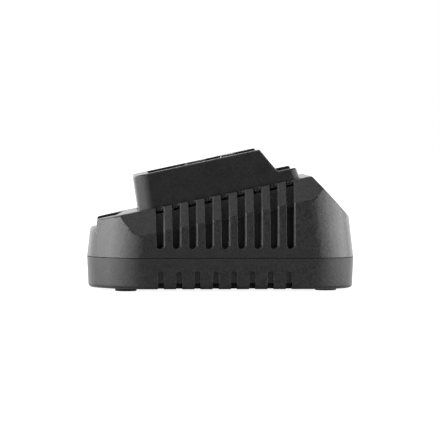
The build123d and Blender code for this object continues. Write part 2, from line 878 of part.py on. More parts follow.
def power_blades():
    return [blade(power_blade_front, power_blade_rear, side * power_blade_half_spacing) for side in (-1, 1)]


def signal_blades():
    return [blade(signal_blade_front, signal_blade_rear, i * signal_blade_spacing) for i in (-1, 0, 1)]


def make_terminal_block():
    body = block(block_front, block_rear, -block_half_width, block_half_width, dock_floor, block_height)
    neck = block(block_front + block_neck_inset, block_rear - block_neck_inset,
                 block_neck_inset - block_half_width, block_half_width - block_neck_inset,
                 -block_neck_drop, dock_floor + near)
    return (deck * (body + neck)).cut(*power_blades(), *signal_blades())


def blade_tail_end(front, rear, across):
    return deck_point((front + rear) / 2, across, -block_neck_drop - blade_tail_length)


# ---- Indicator ----
def make_indicator_lens():
    return lens_prism(0, lens_thickness)


def make_light_pipes():
    below_lens = recess * block(-far, far, -far, far, -far, -lens_thickness)
    low = board_top + led_height + led_gap
    return [post(x, y, low, deck_height(x), light_pipe_radius) & below_lens for x, y in light_pipe_places]


def make_leds():
    leds = []
    for x, y in light_pipe_places:
        base = post(x, y, board_top, board_top + led_base_height, led_base_radius)
        body = post(x, y, board_top, board_top + led_height - light_pipe_radius, light_pipe_radius)
        dome = Pos(x, y, board_top + led_height - light_pipe_radius) * Sphere(light_pipe_radius)
        leds.append(base + body + dome)
    return leds


# ---- Circuit board ----
def make_circuit_board():
    half = board_half_width
    outline = Polygon(
        (board_front + board_corner, -half),
        (board_rear, -half),
        (board_rear, half),
        (board_front + board_corner, half),
        (board_front, half - board_corner),
        (board_front, board_corner - half),
    )
    board = extrude(Pos(0, 0, board_height) * outline, amount=board_thickness)
    holes = [post(x, y, board_height - 1, board_top + 1, board_screw_radius + screw_clearance)
             for x, y in standoff_places()]
    return board.cut(*holes)


def pan_screw(head_radius, head_height, radius, length):
    """Pan-head screw with a cross recess, its head above the seat at the origin."""
    head = post(0, 0, 0, head_height, head_radius)
    head = fillet(head.edges().sort_by(Axis.Z)[-1], head_height * head_rounding)
    arm = head_radius * recess_reach
    slot = head_radius * recess_slot
    low = head_height * (1 - cross_depth)
    cross = block(-arm, arm, -slot, slot, low, head_height + 1)
    cross = cross + block(-slot, slot, -arm, arm, low, head_height + 1)
    shank = post(0, 0, -length, 0, radius)
    shank = chamfer(shank.edges().sort_by(Axis.Z)[0], radius * point_chamfer)
    return head - cross + shank


def make_board_screws():
    head = board_screw_radius * pan_head_ratio
    screw = pan_screw(head, board_screw_radius, board_screw_radius, board_screw_length)
    return [Pos(x, y, board_top) * screw for x, y in standoff_places()]


def make_transformer_core():
    x, half = core_x, core_width / 2
    core = block(x - core_depth / 2, x + core_depth / 2, -half, half, board_top, board_top + core_height)
    windows = []
    for low, high in ((-core_window_half, -core_leg_half), (core_leg_half, core_window_half)):
        windows.append(block(x - core_depth, x + core_depth, low, high,
                             board_top + core_yoke, board_top + core_height - core_yoke))
    return core.cut(*windows)


def around_leg(skin, low, high):
    """Block around the core's middle leg, between two heights above the board."""
    depth = core_depth / 2 + skin
    half = core_leg_half + skin
    return block(core_x - depth, core_x + depth, -half, half, board_top + low, board_top + high)


def make_transformer_bobbin():
    low, high = core_yoke, core_height - core_yoke
    room = core_window_half - core_leg_half - lip_clearance
    body = around_leg(bobbin_skin, low, high)
    body = body + around_leg(room, low, low + bobbin_skin) + around_leg(room, high - bobbin_skin, high)
    return body - around_leg(0, low, high)


def make_transformer_winding():
    low, high = core_yoke + bobbin_skin, core_height - core_yoke - bobbin_skin
    room = core_window_half - core_leg_half - lip_clearance
    coil = around_leg(room - lip_clearance, low, high)
    coil = fillet(coil.edges().filter_by(Axis.Z), room / 2)
    return coil - around_leg(bobbin_skin, low, high)


def choke_ring(outer, inner, low, high):
    ring = post(choke_x, choke_y, low, high, outer)
    return ring - post(choke_x, choke_y, low, high, inner)


def make_choke_core():
    low = board_top + choke_coil
    return choke_ring(choke_radius, choke_bore, low, low + choke_height)


def make_choke_windings():
    high = board_top + choke_height + 2 * choke_coil
    coil = choke_ring(choke_radius + choke_coil, choke_bore - choke_coil, board_top, high)
    coil = coil - make_choke_core()
    gap = block(choke_x - far, choke_x + far, choke_y - choke_bore / 2, choke_y + choke_bore / 2, 0, far)
    return (coil - gap).solids()


fuse_height = board_top + clip_thickness + fuse_radius


def make_fuse_tube():
    half = fuse_length / 2 - 2 * fuse_cap_wall
    return axle(fuse_x - half, fuse_x + half, fuse_y, fuse_height, fuse_radius - fuse_cap_wall)


def make_fuse_caps():
    tube = make_fuse_tube()
    caps = []
    for end in (fuse_x - fuse_length / 2, fuse_x + fuse_length / 2 - fuse_cap_length):
        caps.append(axle(end, end + fuse_cap_length, fuse_y, fuse_height, fuse_radius) - tube)
    return caps


def make_fuse_clips():
    """Spring clips that cradle the fuse caps and stand on the board."""
    clips = []
    offset_x = (fuse_length - fuse_cap_length) / 2
    for x in (fuse_x - offset_x, fuse_x + offset_x):
        x0, x1 = x - clip_width / 2, x + clip_width / 2
        outer = fuse_radius + clip_thickness
        body = block(x0, x1, fuse_y - outer, fuse_y + outer, board_top, fuse_height + fuse_radius / 2)
        clips.append(body - block(x0 - 1, x1 + 1, fuse_y - fuse_radius, fuse_y + fuse_radius,
                                  board_top + clip_thickness, far))
    return clips


def standing_box(x, y, size, radius):
    """Moulded component standing on the board."""
    body = block(x - size[0] / 2, x + size[0] / 2, y - size[1] / 2, y + size[1] / 2,
                 board_top, board_top + size[2])
    return fillet(body.edges().filter_by(Axis.Z) + body.faces().sort_by(Axis.Z)[-1].edges(), radius)


def can(x, y, radius, height):
    """Aluminium can capacitor with its crimped groove near the foot."""
    body = post(x, y, board_top, board_top + height, radius)
    body = fillet(body.edges().sort_by(Axis.Z)[-1], can_groove)
    low = board_top + can_groove_height
    groove = post(x, y, low, low + can_groove, radius + 1)
    groove = groove - post(x, y, low, low + can_groove, radius - can_groove)
    return body - groove


def make_output_capacitors():
    first = board_front + output_cap_inset
    places = (first, first + output_cap_pitch)
    return [can(x, output_cap_y, output_cap_radius, output_cap_height) for x in places]


transistor_hole_height = board_top + transistor_lift + transistor_hole


def transistor_places():
    return [sink_front + transistor_inset, sink_front + sink_length - transistor_inset]


def make_heat_sink():
    plate = block(sink_front, sink_front + sink_length, sink_y, sink_y + sink_thickness,
                  board_top, board_top + sink_height)
    fins = []
    step = (sink_length - sink_fin_thickness) / (sink_fin_count - 1)
    for i in range(sink_fin_count):
        x = sink_front + i * step
        fins.append(block(x, x + sink_fin_thickness, sink_y + sink_thickness - near,
                          sink_y + sink_thickness + sink_fin_depth, board_top, board_top + sink_height))
    holes = []
    for x in transistor_places():
        bore = Cylinder(board_screw_radius + pilot_clearance, 2 * sink_thickness)
        holes.append(Pos(x, sink_y, transistor_hole_height) * Rot(90, 0, 0) * bore)
    return plate.fuse(*fins).cut(*holes)


def make_power_transistors():
    parts = []
    length, depth, height = transistor_size
    low = board_top + transistor_lift
    middle = sink_y - depth / 2
    leg = transistor_leg / 2
    hole = Rot(90, 0, 0) * Cylinder(board_screw_radius + screw_clearance, 2 * depth)
    for x in transistor_places():
        x0, x1 = x - length / 2, x + length / 2
        body = block(x0, x1, sink_y - depth, sink_y, low, low + transistor_body)
        plate = block(x0, x1, sink_y - transistor_tab, sink_y, low, low + height)
        legs = []
        for i in (-1, 0, 1):
            leg_x = x + i * transistor_pin_pitch
            legs.append(block(leg_x - leg, leg_x + leg, middle - leg, middle + leg, board_top, low + near))
        parts.append(body.fuse(plate, *legs) - Pos(x, sink_y, transistor_hole_height) * hole)
    return parts


def make_transistor_screws():
    head = board_screw_radius * pan_head_ratio
    screw = pan_screw(head, board_screw_radius, board_screw_radius, transistor_tab + sink_thickness)
    place = Pos(0, sink_y - transistor_tab, transistor_hole_height) * Rot(90, 0, 0)
    return [Pos(x, 0, 0) * place * screw for x in transistor_places()]


# ---- Fan ----
fan_front = fan_x - fan_depth / 2
fan_rear = fan_x + fan_depth / 2
hub_front = fan_front + fan_running_gap
hub_floor = fan_rear - fan_base_thickness
shaft_front = hub_front + fan_hub_skin * 0.3


def fan_disc(x0, x1, radius):
    return axle(x0, x1, 0, fan_axis_height, radius)


def make_fan_frame():
    frame = fan_envelope(0)
    frame = fillet(frame.edges().filter_by(Axis.X), fan_corner_radius)
    frame = frame - fan_disc(fan_front - 1, fan_rear + 1, fan_bore_radius)
    struts = [fan_disc(hub_floor, fan_rear, fan_hub_radius)]
    for i in range(fan_strut_count // 2):
        angle = 45 + i * 180 / (fan_strut_count // 2)
        bar = Box(fan_base_thickness, 2 * fan_bore_radius + 1, fan_strut_width)
        struts.append(Pos((hub_floor + fan_rear) / 2, 0, fan_axis_height) * Rot(angle, 0, 0) * bar)
    holes = []
    inset = fan_size / 2 - 1.5 * fan_corner_radius
    radius = screw_radius + screw_clearance
    for y in (-inset, inset):
        for z in (fan_axis_height - inset, fan_axis_height + inset):
            holes.append(axle(fan_front - 1, fan_rear + 1, y, z, radius))
    return frame.cut(*holes).fuse(*struts)


def make_fan_bearing():
    front = hub_front + fan_hub_skin + fan_running_gap / 2
    bearing = fan_disc(front, hub_floor, fan_bearing_radius)
    return bearing - fan_disc(front - 1, hub_floor + 1, fan_shaft_radius + fan_shaft_clearance)


def make_fan_stator():
    """Coil ring on the frame's hub, around the bearing."""
    coil = fan_disc(hub_floor - fan_stator_height, hub_floor, fan_stator_radius)
    return coil - fan_disc(hub_floor - far, hub_floor + 1, fan_bearing_radius)


def make_fan_shaft():
    return fan_disc(shaft_front, hub_floor - fan_running_gap / 4, fan_shaft_radius)


def make_fan_impeller():
    rear = hub_front + fan_hub_length
    cup = fan_disc(hub_front, rear, fan_hub_radius)
    cup = fillet(cup.edges().sort_by(Axis.X)[0], fan_hub_skin / 2)
    cup = cup - fan_disc(hub_front + fan_hub_skin, rear + 1, fan_hub_radius - fan_hub_skin)
    ring = fan_disc(hub_front, rear, fan_impeller_radius)
    ring = ring - fan_disc(hub_front - 1, rear + 1, fan_hub_radius - fan_hub_skin / 2)
    reach = fan_impeller_radius + fan_running_gap
    plate = Box(2 * fan_hub_length, fan_blade_thickness, reach)
    plate = Pos(0, 0, reach / 2) * Rot(0, 0, fan_blade_pitch) * plate
    centre = Pos((hub_front + rear) / 2, 0, fan_axis_height)
    blades = []
    for i in range(fan_blade_count):
        turned = centre * Rot(i * 360 / fan_blade_count, 0, 0) * plate
        blades.append(turned & ring)
    impeller = cup.fuse(*blades)
    return impeller - fan_disc(shaft_front, rear + 1, fan_shaft_radius)


# ---- Mains inlet ----
inlet_face = tail_x
inlet_middle = parting_height + inlet_height / 2
collar_rear = inlet_face - wall - (inlet_height + inlet_collar_margin) * tand(end_draft) - inlet_collar_gap


def pin_places():
    return [side * inlet_pin_spacing / 2 for side in (-1, 1)]


def make_inlet_body():
    half = inlet_width / 2
    low, high = parting_height, parting_height + inlet_height
    body = block(inlet_face - inlet_depth, inlet_face, -half, half, low, high)
    body = fillet(body.faces().sort_by(Axis.X)[-1].edges(), inlet_clearance * 5)
    margin = half + inlet_collar_margin
    collar = block(collar_rear - inlet_collar_thickness, collar_rear, -margin, margin,
                   low, high + inlet_collar_margin)
    lobes = [axle(inlet_face - socket_depth, inlet_face + 1, y, inlet_middle, socket_lobe_radius)
             for y in pin_places()]
    waist = block(inlet_face - socket_depth, inlet_face + 1, -inlet_pin_spacing / 2, inlet_pin_spacing / 2,
                  inlet_middle - socket_waist / 2, inlet_middle + socket_waist / 2)
    return (body + collar).cut(*lobes, waist, *make_inlet_pins())


def make_inlet_pins():
    pins = []
    for y in pin_places():
        pin = axle(inlet_face - inlet_depth - inlet_tail, inlet_face - inlet_pin_recess, y,
                   inlet_middle, inlet_pin_radius)
        pins.append(fillet(pin.edges().sort_by(Axis.X)[-1], inlet_pin_radius * 0.8))
    return pins


# ---- Fasteners and feet ----
def make_rubber_feet():
    feet = []
    for x, y in foot_places():
        foot = post(x, y, 0, foot_height + foot_pocket, foot_radius)
        feet.append(fillet(foot.edges().sort_by(Axis.Z)[0], foot_edge_radius))
    return feet


def make_housing_screws():
    screw = pan_screw(screw_head_radius, screw_head_height, screw_radius, screw_length)
    return [Pos(x, y, head_seat) * Rot(180, 0, 0) * screw for x, y in boss_places()]


def make_dock_screws():
    screw = pan_screw(dock_screw_head, dock_screw_head_height, dock_screw_radius, dock_screw_length)
    turned = Rot(180, 0, 0) * screw
    return [deck * (Pos(along, across, -wall) * turned) for along, across in dock_screw_places()]


# ---- Wiring ----
def make_inlet_wires():
    """From the inlet's pins, round the fan, to the mains end of the board."""
    start_x = inlet_face - inlet_depth - inlet_tail
    past_cradle = cradle_clearance + cradle_thickness
    turn_x = fan_rear + past_cradle + 2 * mains_wire_radius
    across = fan_size / 2 + past_cradle + mains_wire_gap + mains_wire_radius
    end_x = board_rear - mains_wire_end_inset
    wires = []
    for y in pin_places():
        side = 1 if y > 0 else -1
        outer_y = side * across
        points = [
            (start_x, y, inlet_middle),
            (turn_x, y, inlet_middle),
            (turn_x, outer_y, inlet_middle),
            (turn_x, outer_y, mains_wire_drop),
            (end_x, outer_y, mains_wire_drop),
            (end_x, outer_y, board_top),
        ]
        bends = [mains_wire_bend * 0.6] + [mains_wire_bend] * 3
        wires.append(wire(points, bends, mains_wire_radius))
    return wires


def make_output_wires():
    """From the power blades straight down to the board."""
    wires = []
    for side in (-1, 1):
        end = blade_tail_end(power_blade_front, power_blade_rear, side * power_blade_half_spacing)
        wires.append(post(end.X, end.Y, board_top, end.Z - output_wire_radius / 4, output_wire_radius))
    return wires


def make_signal_wires():
    """From the signal blades, forward over the transformer, down to the board."""
    wires = []
    landing = core_x - core_depth / 2 - (core_window_half - core_leg_half) - 2 * signal_wire_radius
    for i in (-1, 0, 1):
        end = blade_tail_end(signal_blade_front, signal_blade_rear, i * signal_blade_spacing)
        top = board_top + core_height + output_wire_bend
        points = [(end.X, end.Y, end.Z - signal_wire_radius / 2), (end.X, end.Y, top),
                  (landing, end.Y, top), (landing, end.Y, board_top)]
        wires.append(wire(points, output_wire_bend * 0.8, signal_wire_radius))
    return wires


def make_fan_lead():
    """Two thin wires from the foot of the fan frame up onto the board."""
    wires = []
    low = floor_top + fan_corner_radius / 2 + fan_lead_radius
    turn_x = (board_rear + fan_front) / 2
    end_x = board_rear - 2 * fan_lead_bend
    for i in (0, 1):
        y = fan_lead_y + i * fan_lead_spacing
        top = board_top + 2 * fan_lead_bend
        points = [
            (fan_front, y, low),
            (turn_x, y, low),
            (turn_x, y, top),
            (end_x, y, top),
            (end_x, y, board_top),
        ]
        wires.append(wire(points, fan_lead_bend, fan_lead_radius))
    return wires


save([make_base_tray()], "base_tray")
save([make_upper_shell()], "upper_shell")
save([make_battery_dock()], "battery_dock")
save([make_terminal_block()], "terminal_block")
save(power_blades(), "power_blades")
save(signal_blades(), "signal_blades")
save([make_indicator_lens()], "indicator_lens")
save(make_light_pipes(), "light_pipes")
save(make_leds(), "indicator_leds")
save([make_circuit_board()], "circuit_board")
save(make_board_screws(), "board_screws")
save([make_transformer_core()], "transformer_core")
save([make_transformer_bobbin()], "transformer_bobbin")
save([make_transformer_winding()], "transformer_winding")
save([make_choke_core()], "choke_core")
save(make_choke_windings(), "choke_windings")
save([make_fuse_tube()], "fuse_tube")
save(make_fuse_caps(), "fuse_caps")
save(make_fuse_clips(), "fuse_clips")
save([standing_box(box_cap_x, box_cap_y, box_cap_size, 0.8)], "suppression_capacitor")
save([standing_box(board_rear - bridge_inset, 0, bridge_size, 0.5)], "bridge_rectifier")
save([standing_box(board_front + chip_inset, board_half_width - chip_side, chip_size, 0.3)], "control_chip")
save([can(bulk_cap_x, bulk_cap_y, bulk_cap_radius, bulk_cap_height)], "bulk_capacitor")
save(make_output_capacitors(), "output_capacitors")
save([make_heat_sink()], "heat_sink")
save(make_power_transistors(), "power_transistors")
save(make_transistor_screws(), "transistor_screws")
save([make_fan_frame()], "fan_frame")
save([make_fan_bearing()], "fan_bearing")
save([make_fan_stator()], "fan_stator")
save([make_fan_impeller()], "fan_impeller")
save([make_fan_shaft()], "fan_shaft")
save([make_inlet_body()], "inlet_body")
save(make_inlet_pins(), "inlet_pins")
save(make_inlet_wires(), "inlet_wires")
save(make_output_wires(), "output_wires")
save(make_signal_wires(), "signal_wires")
save(make_fan_lead(), "fan_lead")
save(make_housing_screws(), "housing_screws")
save(make_dock_screws(), "dock_screws")
save(make_rubber_feet(), "rubber_feet")
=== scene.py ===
import json
import math

import bmesh
import bpy
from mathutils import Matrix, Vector


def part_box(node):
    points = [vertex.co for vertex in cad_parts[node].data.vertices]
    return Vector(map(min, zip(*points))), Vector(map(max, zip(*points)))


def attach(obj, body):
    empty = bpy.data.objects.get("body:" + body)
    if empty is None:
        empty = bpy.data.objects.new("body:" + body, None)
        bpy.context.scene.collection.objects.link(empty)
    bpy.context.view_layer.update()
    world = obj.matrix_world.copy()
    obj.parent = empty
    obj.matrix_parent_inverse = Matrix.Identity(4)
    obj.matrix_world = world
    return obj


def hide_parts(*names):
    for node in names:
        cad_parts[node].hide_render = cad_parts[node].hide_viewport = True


# Slide-on battery charger: finishes, smooth copies of the mouldings and a studio, in metres.
# +X runs to the high rear, -Y faces the viewer, +Z is up.

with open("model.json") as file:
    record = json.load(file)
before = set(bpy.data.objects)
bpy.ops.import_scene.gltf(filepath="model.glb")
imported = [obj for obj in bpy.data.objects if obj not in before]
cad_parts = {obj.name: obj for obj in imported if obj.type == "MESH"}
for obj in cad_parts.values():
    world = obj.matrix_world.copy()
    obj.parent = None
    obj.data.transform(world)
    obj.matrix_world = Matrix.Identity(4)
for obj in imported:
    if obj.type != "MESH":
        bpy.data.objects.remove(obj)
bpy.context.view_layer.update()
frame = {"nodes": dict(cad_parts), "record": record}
nodes = frame["nodes"]
print("frame loaded,", len(nodes), "nodes")


def linear(hexCode):
    # sRGB hex to linear RGBA
    values = [int(hexCode[i:i + 2], 16) / 255 for i in (1, 3, 5)]
    return [v / 12.92 if v <= 0.04045 else ((v + 0.055) / 1.055) ** 2.4 for v in values] + [1.0]


def perMetre(millimetres):
    # texture scale whose pattern repeats at that size
    return 1000 / millimetres


def addNode(tree, kind, settings=None, values=None, feeds=None):
    # one shader node, with its settings, its constant sockets and its links
    node = tree.nodes.new("ShaderNode" + kind)
    for name, value in (settings or {}).items():
        setattr(node, name, value)
    for name, value in (values or {}).items():
        node.inputs[name].default_value = value
    for name, socket in (feeds or {}).items():
        tree.links.new(socket, node.inputs[name])
    return node


def newMaterial(name, colour, roughness, metallic=0.0, ior=1.5):
    # a material with one Principled shader, whose plain numbers sit on its own sockets
    material = bpy.data.materials.new(name)
    material.use_nodes = True
    tree = material.node_tree
    shader = tree.nodes["Principled BSDF"]
    shader.inputs["Base Color"].default_value = linear(colour)
    shader.inputs["Roughness"].default_value = roughness
    shader.inputs["Metallic"].default_value = metallic
    shader.inputs["IOR"].default_value = ior
    return material, tree, shader


def colourMix(tree, factor, low, high):
    # colour between two hex colours by a factor socket; 6, 7 and 2 are the node's colour sockets
    mix = addNode(tree, "Mix", {"data_type": "RGBA"}, feeds={"Factor": factor})
    mix.inputs[6].default_value = linear(low)
    mix.inputs[7].default_value = linear(high)
    return mix.outputs[2]


# shared by all the grained finishes
grainNoise = {
    "mottleDetail": 3.0,
    "grainDetail": 2.0,
    "speckFrom": 0.39,  # part of the noise that runs from the darker to the paler colour
    "speckTo": 0.61,
    "edgeSamples": 6,
}


def grainedFinish(name, look):
    # colour mottled by a soft noise, a fine noise bump as grain, and softened edges if asked
    material, tree, shader = newMaterial(name, look["colour"], look["roughness"],
                                         look.get("metallic", 0.0), look.get("ior", 1.5))
    place = addNode(tree, "TexCoord").outputs["Object"]
    if "streak" in look:
        place = addNode(tree, "Mapping", values={"Scale": look["streak"]}, feeds={"Vector": place}).outputs[0]
    mottle = addNode(tree, "TexNoise", feeds={"Vector": place},
                     values={"Scale": perMetre(look["mottleMm"]), "Detail": grainNoise["mottleDetail"]})
    grain = addNode(tree, "TexNoise", feeds={"Vector": place},
                    values={"Scale": perMetre(look["grainMm"]), "Detail": grainNoise["grainDetail"]})
    tone = mottle.outputs["Fac"]
    if "speck" in look:  # share of the grain in the colour
        tone = addNode(tree, "Mix", values={"Factor": look["speck"]},
                       feeds={"A": tone, "B": grain.outputs["Fac"]})
        tone = addNode(tree, "MapRange", feeds={"Value": tone.outputs[0]}, values={
            "From Min": grainNoise["speckFrom"], "From Max": grainNoise["speckTo"]}).outputs[0]
    tree.links.new(colourMix(tree, tone, look["colour"], look["paler"]), shader.inputs["Base Color"])
    bump = addNode(tree, "Bump", values={"Strength": 1.0, "Distance": look["grainDepthMm"] / 1000},
                   feeds={"Height": grain.outputs["Fac"]})
    if "edgeMm" in look:
        edge = addNode(tree, "Bevel", {"samples": grainNoise["edgeSamples"]},
                       {"Radius": look["edgeMm"] / 1000})
        tree.links.new(edge.outputs[0], bump.inputs["Normal"])
    tree.links.new(bump.outputs[0], shader.inputs["Normal"])
    rough = addNode(tree, "MapRange", values={"To Min": look["roughness"] - look["roughnessSpread"],
                                              "To Max": look["roughness"] + look["roughnessSpread"]},
                    feeds={"Value": mottle.outputs["Fac"]})
    tree.links.new(rough.outputs[0], shader.inputs["Roughness"])
    return material


# ABS, moulded in a spark-eroded tool: an even, dull charcoal with a fine grain. The real grain is
# about 0.2 mm; it is drawn at 0.8 mm, so that it shows.
texturedAbs = grainedFinish("texturedAbs", {
    "colour": "#181818", "paler": "#303030", "roughness": 0.36, "roughnessSpread": 0.04, "ior": 1.5,
    "mottleMm": 6.0, "grainMm": 0.8, "grainDepthMm": 0.07, "speck": 0.85, "edgeMm": 0.35,
})
# Glass-filled nylon, moulded in the same texture: a touch darker and drier than the housing.
filledNylon = grainedFinish("filledNylon", {
    "colour": "#0b0b0b", "paler": "#202020", "roughness": 0.36, "roughnessSpread": 0.04, "ior": 1.5,
    "mottleMm": 5.0, "grainMm": 0.7, "grainDepthMm": 0.08, "speck": 0.8, "edgeMm": 0.3,
})
# Nylon, moulded smooth: near black with a soft shine.
smoothNylon = grainedFinish("smoothNylon", {
    "colour": "#121213", "paler": "#171718", "roughness": 0.38, "roughnessSpread": 0.04, "ior": 1.52,
    "mottleMm": 8.0, "grainMm": 1.5, "grainDepthMm": 0.004, "edgeMm": 0.2,
})
# Nickel on brass, stamped: bright with fine rolling lines along the strip.
nickelBrass = grainedFinish("nickelBrass", {
    "colour": "#cccccb", "paler": "#dededd", "roughness": 0.26, "roughnessSpread": 0.06, "metallic": 1.0,
    "mottleMm": 3.0, "grainMm": 1.2, "grainDepthMm": 0.003, "streak": (1.0, 1.0, 0.12), "edgeMm": 0.12,
})
# Polycarbonate, smoked and polished: black glass look.
smokedLens = grainedFinish("smokedLens", {
    "colour": "#0b0b0d", "paler": "#0f0f11", "roughness": 0.12, "roughnessSpread": 0.02, "ior": 1.58,
    "mottleMm": 12.0, "grainMm": 4.0, "grainDepthMm": 0.002, "edgeMm": 0.15,
})
# Acrylic rod: clear, slightly hazed.
clearAcrylic = grainedFinish("clearAcrylic", {
    "colour": "#c9d2d2", "paler": "#dbe2e2", "roughness": 0.15, "roughnessSpread": 0.03, "ior": 1.49,
    "mottleMm": 4.0, "grainMm": 2.0, "grainDepthMm": 0.002,
})
# Tinted epoxy of a 3 mm diode: deep red, glossy.
tintedEpoxy = grainedFinish("tintedEpoxy", {
    "colour": "#a0181a", "paler": "#b82a26", "roughness": 0.2, "roughnessSpread": 0.03, "ior": 1.54,
    "mottleMm": 2.0, "grainMm": 1.0, "grainDepthMm": 0.002,
})
# Natural rubber, moulded: black, dull, slightly dusty.
footRubber = grainedFinish("footRubber", {
    "colour": "#151515", "paler": "#222120", "roughness": 0.82, "roughnessSpread": 0.08, "ior": 1.52,
    "mottleMm": 2.5, "grainMm": 0.5, "grainDepthMm": 0.03, "edgeMm": 0.3,
})
# Steel, zinc plated and black passivated: dark grey metal with a soft sheen.
blackZinc = grainedFinish("blackZinc", {
    "colour": "#3a3a3c", "paler": "#4c4c4f", "roughness": 0.34, "roughnessSpread": 0.08, "metallic": 1.0,
    "mottleMm": 1.5, "grainMm": 0.4, "grainDepthMm": 0.004, "edgeMm": 0.12,
})
# Sintered ferrite: charcoal ceramic, ground on its faces.
sinteredFerrite = grainedFinish("sinteredFerrite", {
    "colour": "#37373a", "paler": "#434346", "roughness": 0.55, "roughnessSpread": 0.08, "ior": 1.9,
    "mottleMm": 3.0, "grainMm": 0.4, "grainDepthMm": 0.01,
})
# Phenolic bobbin: black, satin.
phenolic = grainedFinish("phenolic", {
    "colour": "#1b1a19", "paler": "#232221", "roughness": 0.45, "roughnessSpread": 0.05, "ior": 1.6,
    "mottleMm": 3.0, "grainMm": 0.6, "grainDepthMm": 0.006,
})
# Moulded epoxy of chips and transistors: black, eroded matt.
mouldedEpoxy = grainedFinish("mouldedEpoxy", {
    "colour": "#1a1a1b", "paler": "#222223", "roughness": 0.62, "roughnessSpread": 0.05, "ior": 1.55,
    "mottleMm": 2.0, "grainMm": 0.3, "grainDepthMm": 0.008,
})
# Epoxy-dipped film capacitor: ochre box, satin.
filmCapacitor = grainedFinish("filmCapacitor", {
    "colour": "#b98f2b", "paler": "#c79d3a", "roughness": 0.4, "roughnessSpread": 0.05, "ior": 1.55,
    "mottleMm": 3.0, "grainMm": 0.8, "grainDepthMm": 0.004,
})
# Extruded aluminium: bright, with drawn lines along the fins.
extrudedAluminium = grainedFinish("extrudedAluminium", {
    "colour": "#a6a8aa", "paler": "#bcbec0", "roughness": 0.38, "roughnessSpread": 0.07, "metallic": 1.0,
    "mottleMm": 2.5, "grainMm": 0.5, "grainDepthMm": 0.006, "streak": (1.0, 1.0, 0.05),
})
# PBT, moulded smooth for the fan: black, satin.
fanPbt = grainedFinish("fanPbt", {
    "colour": "#161617", "paler": "#1c1c1d", "roughness": 0.42, "roughnessSpread": 0.05, "ior": 1.55,
    "mottleMm": 4.0, "grainMm": 0.8, "grainDepthMm": 0.005,
})
# Sintered bronze, oil-filled: brown, pored.
sinteredBronze = grainedFinish("sinteredBronze", {
    "colour": "#8a6238", "paler": "#9c7448", "roughness": 0.45, "roughnessSpread": 0.1, "metallic": 1.0,
    "mottleMm": 0.6, "grainMm": 0.2, "grainDepthMm": 0.006,
})
# Ground steel: bright, with a very fine grain.
groundSteel = grainedFinish("groundSteel", {
    "colour": "#b4b6b8", "paler": "#c8cacc", "roughness": 0.22, "roughnessSpread": 0.05, "metallic": 1.0,
    "mottleMm": 1.0, "grainMm": 0.2, "grainDepthMm": 0.002,
})
# Enamelled copper: warm orange metal under a thin varnish.
copperLook = {
    "colour": "#a55a2c", "paler": "#bb6c38", "roughness": 0.3, "roughnessSpread": 0.06, "metallic": 1.0,
    "mottleMm": 2.0, "grainMm": 0.5, "grainDepthMm": 0.004,
}
enamelledCopper = grainedFinish("enamelledCopper", copperLook)
windingLook = {"node": "choke_windings", "turns": 54, "depthMm": 0.12}


def addTurns(material, look):
    # ridges of wire round the upright middle line of a ring: the angle times their number, up and down
    tree = material.node_tree
    shader = tree.nodes["Principled BSDF"]
    low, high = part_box(look["node"])
    place = addNode(tree, "TexCoord").outputs["Object"]
    centred = addNode(tree, "Mapping", values={"Location": [-(a + b) / 2 for a, b in zip(low, high)]},
                      feeds={"Vector": place})
    angle = addNode(tree, "TexGradient", {"gradient_type": "RADIAL"}, feeds={"Vector": centred.outputs[0]})
    ridge = addNode(tree, "Math", {"operation": "MULTIPLY"}, {1: 2.0 * look["turns"]},
                    {0: angle.outputs["Fac"]})
    ridge = addNode(tree, "Math", {"operation": "PINGPONG"}, {1: 1.0}, {0: ridge.outputs[0]})
    grain = shader.inputs["Normal"].links[0].from_socket
    bump = addNode(tree, "Bump", values={"Strength": 1.0, "Distance": look["depthMm"] / 1000},
                   feeds={"Height": ridge.outputs[0], "Normal": grain})
    tree.links.new(bump.outputs[0], shader.inputs["Normal"])
    return material


# Enamelled copper wound on the choke: the same wire, turn beside turn.
woundCopper = addTurns(grainedFinish("woundCopper", copperLook), windingLook)
# Polyester tape over the winding: amber, wrapped flat.
polyesterTape = grainedFinish("polyesterTape", {
    "colour": "#c9931f", "paler": "#d8a634", "roughness": 0.3, "roughnessSpread": 0.06, "ior": 1.64,
    "mottleMm": 4.0, "grainMm": 1.0, "grainDepthMm": 0.01, "streak": (0.3, 0.3, 2.0),
})
# Shrink sleeve on the aluminium cans: dark blue, glossy.
shrinkSleeve = grainedFinish("shrinkSleeve", {
    "colour": "#1a2338", "paler": "#202a42", "roughness": 0.28, "roughnessSpread": 0.05, "ior": 1.54,
    "mottleMm": 4.0, "grainMm": 1.5, "grainDepthMm": 0.006,
})
# Soda-lime glass of the fuse: clear, a little grey.
fuseGlass = grainedFinish("fuseGlass", {
    "colour": "#c4cccc", "paler": "#d2dada", "roughness": 0.08, "roughnessSpread": 0.02, "ior": 1.52,
    "mottleMm": 6.0, "grainMm": 3.0, "grainDepthMm": 0.001,
})


def pvcInsulation(name, colour, paler):
    # soft PVC on wires: satin, slightly waxy
    return grainedFinish(name, {
        "colour": colour, "paler": paler, "roughness": 0.42, "roughnessSpread": 0.05, "ior": 1.54,
        "mottleMm": 2.0, "grainMm": 0.6, "grainDepthMm": 0.004,
    })


